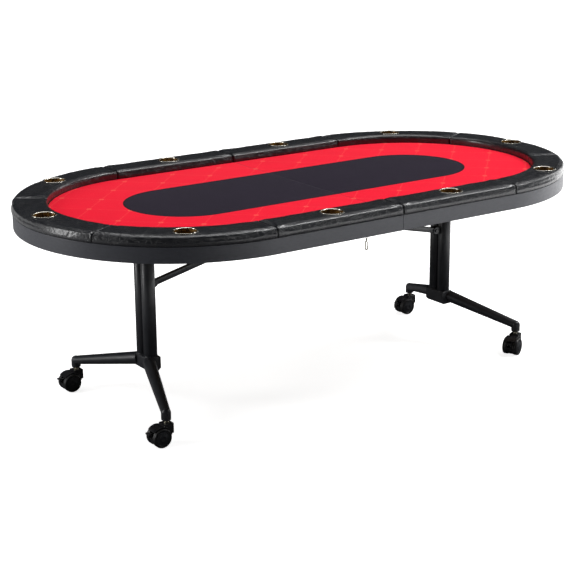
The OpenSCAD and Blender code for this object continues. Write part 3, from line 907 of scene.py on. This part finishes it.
def make_brackets():
    for side, sx in SIDES:
        top, leg = bodies_of(side)
        softened(f"{side}_leg_bracket", top, "powder_coat", 1.2 * MM)
        softened(f"{side}_link_hanger", top, "powder_coat", 0.8 * MM)
        softened(f"{side}_link_bracket", leg, "powder_coat", 0.8 * MM)
        softened(f"{side}_leg_pins", leg, "powder_coat", 0.8 * MM)
        low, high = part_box(f"{side}_leg_bracket")
        bm = bmesh.new()
        under = high.z - 4 * MM
        rows = (low.y + 14 * MM, high.y - 14 * MM)
        spots = [(x, y, under) for x in (low.x + 12 * MM, high.x - 12 * MM) for y in rows]
        screw_heads(bm, spots, (0, 0, -1), 5.5 * MM, 2.4 * MM)
        low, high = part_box(f"{side}_link_hanger")
        under = high.z - 3 * MM
        far = high.y - 10 * MM if sx > 0 else low.y + 10 * MM
        spots = [(x, far, under) for x in (low.x + 10 * MM, high.x - 10 * MM)]
        screw_heads(bm, spots, (0, 0, -1), 4.5 * MM, 2 * MM)
        new_piece(f"{side}_bracket_screws", bm, top, "zinc_steel")


# ---------------------------------------------------------------- legs

def make_columns():
    wall = 2 * MM
    edge = 0.8 * MM
    for side, sx in SIDES:
        leg = bodies_of(side)[1]
        low, high = TUBE_LOW.z, TUBE_HIGH.z
        outer, inner = TUBE_RADIUS, TUBE_RADIUS - wall
        outline = [
            (inner, low + edge), (inner + edge, low), (outer - edge, low), (outer, low + edge),
            (outer, high - edge), (outer - edge, high), (inner + edge, high), (inner, high - edge),
            (inner, low + edge)]
        bm = bmesh.new()
        for y in (-TUBE_Y, TUBE_Y):
            lathe(bm, outline, Matrix.Translation((sx * LEG_X, y, 0)), 72)
        new_piece(f"{side}_column_tubes", bm, leg, "powder_coat", nodes=(f"{side}_column",), smooth=50)
        bm = bmesh.new()
        bead = 2 * MM
        for y in (-TUBE_Y, TUBE_Y):
            for z, start in ((low, 0), (high, -90)):
                ring = [(outer - 0.5 * MM, z), *arc((outer - 0.5 * MM, z), bead, start, start + 90, 4)]
                lathe(bm, [*ring, ring[0]], Matrix.Translation((sx * LEG_X, y, 0)), 48)
        new_piece(f"{side}_column_welds", bm, leg, "powder_coat", smooth=60)


def make_pivot_heads():
    half = HEAD_HIGH.y
    base = HEAD_LOW.z
    radius = HEAD_HIGH.z - PIVOT_Z
    for side, sx in SIDES:
        bm = bmesh.new()
        x = sx * LEG_X
        corners = flat_face(bm, [
            (x - radius, -half, base), (x + radius, -half, base),
            (x + radius, -half, PIVOT_Z + radius), (x - radius, -half, PIVOT_Z + radius)]).verts[:]
        for corner in corners[2:]:
            round_corner(bm, corner, radius - 0.05 * MM, 12)
        push(bm, list(bm.faces), (0, 2 * half, 0))
        bevel_sharp(bm, 2 * MM, 3)
        new_piece(f"{side}_pivot_block", bm, bodies_of(side)[1], "powder_coat", nodes=(f"{side}_pivot_head",))


def make_hubs():
    for side, _ in SIDES:
        softened(f"{side}_hub", bodies_of(side)[1], "powder_coat", 2.5 * MM, name=f"{side}_hub_block")


def make_feet():
    radius, socket = 17.5 * MM, 16.9 * MM
    for side, sx in SIDES:
        for end, _ in ENDS:
            stem = Vector(JOINTS[f"{end}_{side}_swivel"]["pos_m"])
            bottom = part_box(f"{side}_{end}_foot")[0].z
            axis = Vector((sx * LEG_X, 0, ARM_HUB_Z))
            tip = Vector((stem.x, stem.y, ARM_TIP_Z))
            run = tip - axis
            start = axis + run.normalized() * ARM_START
            length = (tip - start).length
            bm = bmesh.new()
            arm = [
                (0, 0), (22.6 * MM, 0), (24.1 * MM, 1.5 * MM), (16.8 * MM, length - 6 * MM),
                (16.4 * MM, length), (0, length)]
            lathe(bm, arm, facing(run, start), 64)
            cup = [
                (0, bottom), (16.2 * MM, bottom), (radius, bottom + 1.3 * MM), (radius, bottom + 5 * MM),
                (socket, bottom + 5.6 * MM), (socket, bottom + 7 * MM), (radius, bottom + 7.6 * MM),
                *arc((0, ARM_TIP_Z), radius, 0, 90, 12)]
            cup = [(across, min(up, ARM_TIP_Z + 16.1 * MM)) for across, up in cup]
            lathe(bm, cup, Matrix.Translation((stem.x, stem.y, 0)), 64)
            new_piece(
                f"{side}_{end}_foot_arm", bm, bodies_of(side)[1], "powder_coat",
                nodes=(f"{side}_{end}_foot",), smooth=40)


def make_links():
    for side, sx in SIDES:
        low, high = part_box(f"{side}_link")
        pivot = Vector(JOINTS[f"{side}_link_pivot"]["pos_m"])
        radius = pivot.z - low.z
        half = (high.y - low.y) / 2
        far = Vector((low.x + radius if sx > 0 else high.x - radius, pivot.y, high.z - radius))
        run = far - pivot
        bm = bmesh.new()
        corners = flat_face(bm, [
            (-radius, -half, -radius), (run.length + radius, -half, -radius),
            (run.length + radius, -half, radius), (-radius, -half, radius)]).verts[:]
        for corner in corners:
            round_corner(bm, corner, radius - 0.05 * MM, 10)
        push(bm, list(bm.faces), (0, 2 * half, 0))
        bevel_sharp(bm, 2.5 * MM, 3)
        along, across = run.normalized(), Vector((0, 1, 0))
        tilt = Matrix((along, across, along.cross(across))).transposed()
        bmesh.ops.transform(bm, matrix=Matrix.Translation(pivot) @ tilt.to_4x4(), verts=bm.verts)
        new_piece(f"{side}_link_bar", bm, f"{side}_link", "powder_coat", nodes=(f"{side}_link",))


def make_snap_hook():
    """A short chain on the eye's pin, and a snap hook with its spring gate"""
    dress("hook_eye", "zinc_steel")
    pivot = Vector(JOINTS["hook_swing"]["pos_m"])
    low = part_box("snap_hook")[0]
    hook_top = low.z + 42 * MM
    gauge, half_wide, count = 1.2 * MM, 3.2 * MM, 7
    bm = bmesh.new()
    pitch = (pivot.z + gauge - hook_top) / count
    for i in range(count):
        centre = hook_top + pitch * (i + 0.5)
        reach = pitch / 2 + gauge - half_wide
        loop = []
        for swing in np.linspace(0, 2 * pi, 18, endpoint=False):
            across = half_wide * cos(swing)
            up = reach * (1 if sin(swing) >= 0 else -1) + half_wide * sin(swing)
            beside = (across, 0) if (count - i) % 2 else (0, across)
            loop.append((pivot.x + beside[0], pivot.y + beside[1], centre + up))
        wire(bm, loop, gauge, closed=True)
    swivel = [(0, 0), (3.4 * MM, 0), (3.4 * MM, 5 * MM), (1.8 * MM, 7 * MM), (0, 7 * MM)]
    lathe(bm, swivel, Matrix.Translation((pivot.x, pivot.y, hook_top - 5 * MM)), 24)
    body, gap = 5.0 * MM, 2.4 * MM

    def spot(across, up):
        return pivot.x + across, pivot.y, up

    bend = [spot(body * sin(a), low.z + body + gap - body * cos(a)) for a in np.linspace(-pi / 2, pi / 2, 11)]
    wire(bm, [
        spot(0, hook_top - 3 * MM), spot(0, hook_top - 6 * MM), spot(-body * 0.7, hook_top - 9 * MM),
        spot(-body, hook_top - 12 * MM), *bend, spot(body, low.z + 14 * MM)], gap, sides=12)
    wire(bm, [
        spot(-body * 0.3, hook_top - 10 * MM), spot(body * 0.8, hook_top - 13 * MM),
        spot(body, low.z + 13 * MM)], 1.7 * MM)
    new_piece("snap_hook_and_chain", bm, "snap_hook", "zinc_steel", nodes=("snap_hook",), smooth=50)


# ---------------------------------------------------------------- casters

def make_casters():
    for side, _ in SIDES:
        for end, _ in ENDS:
            name = f"{end}_{side}"
            softened(
                f"{name}_caster", f"{name}_caster", "caster_plastic", 0.7 * MM,
                also=("zinc_steel", lambda centre: centre.z > CASTER_TOP))
            softened(f"{name}_pedal", f"{name}_pedal", "caster_plastic", 0.6 * MM)


def make_wheels():
    for side, _ in SIDES:
        for end, _ in ENDS:
            name = f"{end}_{side}"
            roll = JOINTS[f"{name}_roll"]
            centre, axle = Vector(roll["pos_m"]), Vector(roll["axis"])
            low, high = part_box(f"{name}_wheels")
            radius = (high.z - low.z) / 2
            near, far = 11 * MM, 32 * MM
            width = far - near
            tread = [
                (radius - 8 * MM, near + 1 * MM), *arc((radius - 4 * MM, near + 4 * MM), 4 * MM, -90, 0, 5),
                (radius, near + width * 0.42), (radius - 0.5 * MM, near + width * 0.46),
                (radius - 0.5 * MM, near + width * 0.54), (radius, near + width * 0.58),
                *arc((radius - 5 * MM, far - 6 * MM), 5 * MM, 0, 90, 6), (radius - 7 * MM, far - 1.6 * MM),
                (radius - 8 * MM, far - 3 * MM), (radius - 8 * MM, near + 1 * MM)]
            cap = [
                (0, near), (radius - 8 * MM, near), (radius - 8 * MM, far - 3 * MM),
                (radius - 8.6 * MM, far - 1.2 * MM), (radius - 10 * MM, far - 0.8 * MM),
                (radius - 11 * MM, far - 1.6 * MM), (13 * MM, far - 0.6 * MM), (11.5 * MM, far + 0.2 * MM),
                (9 * MM, far + 0.6 * MM), (7.5 * MM, far - 0.4 * MM), (0, far - 0.2 * MM)]
            axle_rod = [(0, -near), (5 * MM, -near), (5 * MM, near), (0, near)]
            for label, outline, finish, nodes in (
                    ("treads", tread, "wheel_rubber", (f"{name}_wheels",)),
                    ("wheel_caps", cap, "wheel_cap", ())):
                bm = bmesh.new()
                for sign in (1, -1):
                    lathe(bm, outline, facing(axle * sign, centre), 72)
                if label == "wheel_caps":
                    lathe(bm, axle_rod, facing(axle, centre), 32)
                new_piece(f"{name}_{label}", bm, f"{name}_wheels", finish, nodes=nodes, smooth=40)


# ---------------------------------------------------------------- stage

def make_stage():
    scene = bpy.context.scene
    stage = scene.card_table_stage
    scene.view_settings.view_transform = "Standard"
    camera = bpy.data.objects.new("camera", bpy.data.cameras.new("camera"))
    camera.data.lens = stage.lens
    camera.data.sensor_width = 36
    ahead = Vector((sin(stage.yaw) * cos(stage.pitch), cos(stage.yaw) * cos(stage.pitch), -sin(stage.pitch)))
    right = Vector((cos(stage.yaw), -sin(stage.yaw), 0))
    up = right.cross(ahead)
    across = cos(stage.roll) * right + sin(stage.roll) * up
    top = cos(stage.roll) * up - sin(stage.roll) * right
    turned = Matrix((across, top, -ahead)).transposed().to_4x4()
    camera.matrix_world = Matrix.Translation(Vector(stage.place)) @ turned
    scene.collection.objects.link(camera)
    scene.camera = camera

    bm = bmesh.new()
    bmesh.ops.create_grid(bm, x_segments=1, y_segments=1, size=60)
    mesh = bpy.data.meshes.new("floor")
    bm.to_mesh(mesh)
    bm.free()
    f = Finish("floor", Roughness=0.9, Specular_IOR_Level=0.0)
    seen = f.tree.nodes.new("ShaderNodeLightPath").outputs["Is Camera Ray"]
    f.colour(f.mix(seen, (0.13, 0.13, 0.135), (0.92, 0.92, 0.92)))
    f.shader.inputs["Emission Color"].default_value = (1, 1, 1, 1)
    axes = f.tree.nodes.new("ShaderNodeSeparateXYZ")
    f.link(f.place, axes.inputs[0])
    beside = f.math(
        "SUBTRACT", f.math("MULTIPLY", axes.outputs[0], 0.83), f.math("MULTIPLY", axes.outputs[1], 0.56))
    right_glow = f.ramp(beside, 1.1, 3.2, 0.0, 2.4, smooth=False)
    left_glow = f.ramp(beside, -1.2, -3.4, 0.0, 0.5, smooth=False)
    glow = f.math("ADD", right_glow, left_glow)
    f.link(f.math("MAXIMUM", glow, f.math("MULTIPLY", seen, 0.85)), f.shader.inputs["Emission Strength"])
    mesh.materials.append(f.material)
    floor = bpy.data.objects.new("floor", mesh)
    scene.collection.objects.link(floor)

    white_backdrop = 20.0
    world = bpy.data.worlds.new("studio")
    scene.world = world
    world.use_nodes = True
    tree = world.node_tree
    background = tree.nodes["Background"]
    sky = tree.nodes.new("ShaderNodeTexCoord")
    axes = tree.nodes.new("ShaderNodeSeparateXYZ")
    height = tree.nodes.new("ShaderNodeMapRange")
    ray = tree.nodes.new("ShaderNodeLightPath")
    seen = tree.nodes.new("ShaderNodeMix")
    tree.links.new(sky.outputs["Generated"], axes.inputs[0])
    tree.links.new(axes.outputs[2], height.inputs["Value"])
    height.inputs["From Min"].default_value = 0.55
    height.inputs["From Max"].default_value = 0.95
    height.inputs["To Min"].default_value = 0.04
    height.inputs["To Max"].default_value = 0.5
    tree.links.new(height.outputs["Result"], seen.inputs[2])
    seen.inputs[3].default_value = white_backdrop
    tree.links.new(ray.outputs["Is Camera Ray"], seen.inputs["Factor"])
    tree.links.new(seen.outputs[0], background.inputs["Strength"])

    def soft_light(name, place, size, power):
        light = bpy.data.lights.new(name, "AREA")
        light.shape = "RECTANGLE"
        light.size, light.size_y = size
        light.energy = power
        lamp = bpy.data.objects.new(name, light)
        lamp.matrix_world = facing(Vector(place) - Vector(middle), place)
        scene.collection.objects.link(lamp)

    middle = (0, 0, 0.6)
    sun = bpy.data.lights.new("overhead", "SUN")
    sun.energy = 1.7
    sun.angle = radians(50)
    lamp = bpy.data.objects.new("overhead", sun)
    lamp.matrix_world = facing((0.1, 0.15, 1), (0, 0, 3))
    scene.collection.objects.link(lamp)
    soft_light("strip", (3.6, -1.8, 5.4), (0.9, 4.5), 260)
    soft_light("right", (5.0, 0.8, 1.8), (1.4, 3.0), 38)
    soft_light("left", (-4.4, 1.6, 1.8), (1.2, 2.8), 85)


# ---------------------------------------------------------------- operators, panel and registration

class CARD_TABLE_OT_stage(bpy.types.Operator):
    """Adds the floor, the lights and the camera"""
    bl_idname = "card_table.stage"
    bl_label = "Stage"
    bl_options = {"REGISTER", "UNDO"}

    def execute(self, context):
        make_stage()
        return {"FINISHED"}


class CARD_TABLE_OT_armrest(bpy.types.Operator):
    """Makes the ten padded armrest covers"""
    bl_idname = "card_table.armrest"
    bl_label = "Armrest"
    bl_options = {"REGISTER", "UNDO"}

    def execute(self, context):
        make_armrest()
        return {"FINISHED"}


class CARD_TABLE_OT_playing_field(bpy.types.Operator):
    """Makes the cloth and the foam below it"""
    bl_idname = "card_table.playing_field"
    bl_label = "Playing Field"
    bl_options = {"REGISTER", "UNDO"}

    def execute(self, context):
        make_playing_field()
        return {"FINISHED"}


class CARD_TABLE_OT_skirts(bpy.types.Operator):
    """Makes the two skirts"""
    bl_idname = "card_table.skirts"
    bl_label = "Skirts"
    bl_options = {"REGISTER", "UNDO"}

    def execute(self, context):
        make_skirts()
        return {"FINISHED"}


class CARD_TABLE_OT_cups(bpy.types.Operator):
    """Makes the ten cup holders"""
    bl_idname = "card_table.cups"
    bl_label = "Cup Holders"
    bl_options = {"REGISTER", "UNDO"}

    def execute(self, context):
        make_cups()
        return {"FINISHED"}


class CARD_TABLE_OT_boards(bpy.types.Operator):
    """Finishes the decks, bases and beams"""
    bl_idname = "card_table.boards"
    bl_label = "Boards"
    bl_options = {"REGISTER", "UNDO"}

    def execute(self, context):
        make_boards()
        return {"FINISHED"}


class CARD_TABLE_OT_hinges(bpy.types.Operator):
    """Makes the seam hinges and their screws"""
    bl_idname = "card_table.hinges"
    bl_label = "Hinges"
    bl_options = {"REGISTER", "UNDO"}

    def execute(self, context):
        make_hinges()
        return {"FINISHED"}


class CARD_TABLE_OT_brackets(bpy.types.Operator):
    """Makes the brackets, pins and their screws"""
    bl_idname = "card_table.brackets"
    bl_label = "Brackets"
    bl_options = {"REGISTER", "UNDO"}

    def execute(self, context):
        make_brackets()
        return {"FINISHED"}


class CARD_TABLE_OT_columns(bpy.types.Operator):
    """Makes the tubes of the two legs and their welds"""
    bl_idname = "card_table.columns"
    bl_label = "Columns"
    bl_options = {"REGISTER", "UNDO"}

    def execute(self, context):
        make_columns()
        return {"FINISHED"}


class CARD_TABLE_OT_pivot_heads(bpy.types.Operator):
    """Makes the blocks on top of the tubes"""
    bl_idname = "card_table.pivot_heads"
    bl_label = "Pivot Heads"
    bl_options = {"REGISTER", "UNDO"}

    def execute(self, context):
        make_pivot_heads()
        return {"FINISHED"}


class CARD_TABLE_OT_hubs(bpy.types.Operator):
    """Makes the blocks that join tubes and arms"""
    bl_idname = "card_table.hubs"
    bl_label = "Hubs"
    bl_options = {"REGISTER", "UNDO"}

    def execute(self, context):
        make_hubs()
        return {"FINISHED"}


class CARD_TABLE_OT_feet(bpy.types.Operator):
    """Makes the four tapered arms"""
    bl_idname = "card_table.feet"
    bl_label = "Feet"
    bl_options = {"REGISTER", "UNDO"}

    def execute(self, context):
        make_feet()
        return {"FINISHED"}


class CARD_TABLE_OT_links(bpy.types.Operator):
    """Makes the two folding links"""
    bl_idname = "card_table.links"
    bl_label = "Links"
    bl_options = {"REGISTER", "UNDO"}

    def execute(self, context):
        make_links()
        return {"FINISHED"}


class CARD_TABLE_OT_snap_hook(bpy.types.Operator):
    """Makes the hook and its chain"""
    bl_idname = "card_table.snap_hook"
    bl_label = "Snap Hook"
    bl_options = {"REGISTER", "UNDO"}

    def execute(self, context):
        make_snap_hook()
        return {"FINISHED"}


class CARD_TABLE_OT_casters(bpy.types.Operator):
    """Makes the caster bodies and pedals"""
    bl_idname = "card_table.casters"
    bl_label = "Casters"
    bl_options = {"REGISTER", "UNDO"}

    def execute(self, context):
        make_casters()
        return {"FINISHED"}


class CARD_TABLE_OT_wheels(bpy.types.Operator):
    """Makes the wheels of the casters"""
    bl_idname = "card_table.wheels"
    bl_label = "Wheels"
    bl_options = {"REGISTER", "UNDO"}

    def execute(self, context):
        make_wheels()
        return {"FINISHED"}


OPERATORS = (
    CARD_TABLE_OT_stage, CARD_TABLE_OT_armrest, CARD_TABLE_OT_playing_field, CARD_TABLE_OT_skirts,
    CARD_TABLE_OT_cups, CARD_TABLE_OT_boards, CARD_TABLE_OT_hinges, CARD_TABLE_OT_brackets,
    CARD_TABLE_OT_columns, CARD_TABLE_OT_pivot_heads, CARD_TABLE_OT_hubs, CARD_TABLE_OT_feet,
    CARD_TABLE_OT_links, CARD_TABLE_OT_snap_hook, CARD_TABLE_OT_casters, CARD_TABLE_OT_wheels,
)


class CARD_TABLE_PT_panel(bpy.types.Panel):
    """Lists the pieces of the card table"""
    bl_idname = "CARD_TABLE_PT_panel"
    bl_label = "Card Table"
    bl_space_type = "VIEW_3D"
    bl_region_type = "UI"
    bl_category = "Card Table"

    def draw(self, context):
        for piece in OPERATORS:
            self.layout.operator(piece.bl_idname)


CLASSES = (CardTableSizes, CardTableColours, CardTableStage, *OPERATORS, CARD_TABLE_PT_panel)


def register():
    for item in CLASSES:
        bpy.utils.register_class(item)
    bpy.types.Scene.card_table_sizes = PointerProperty(type=CardTableSizes)
    bpy.types.Scene.card_table_colours = PointerProperty(type=CardTableColours)
    bpy.types.Scene.card_table_stage = PointerProperty(type=CardTableStage)


def unregister():
    for name in ("card_table_sizes", "card_table_colours", "card_table_stage"):
        delattr(bpy.types.Scene, name)
    for item in reversed(CLASSES):
        bpy.utils.unregister_class(item)


def main():
    register()
    for piece in OPERATORS:
        group, name = piece.bl_idname.split(".")
        getattr(getattr(bpy.ops, group), name)()


if __name__ == "__main__":
    main()
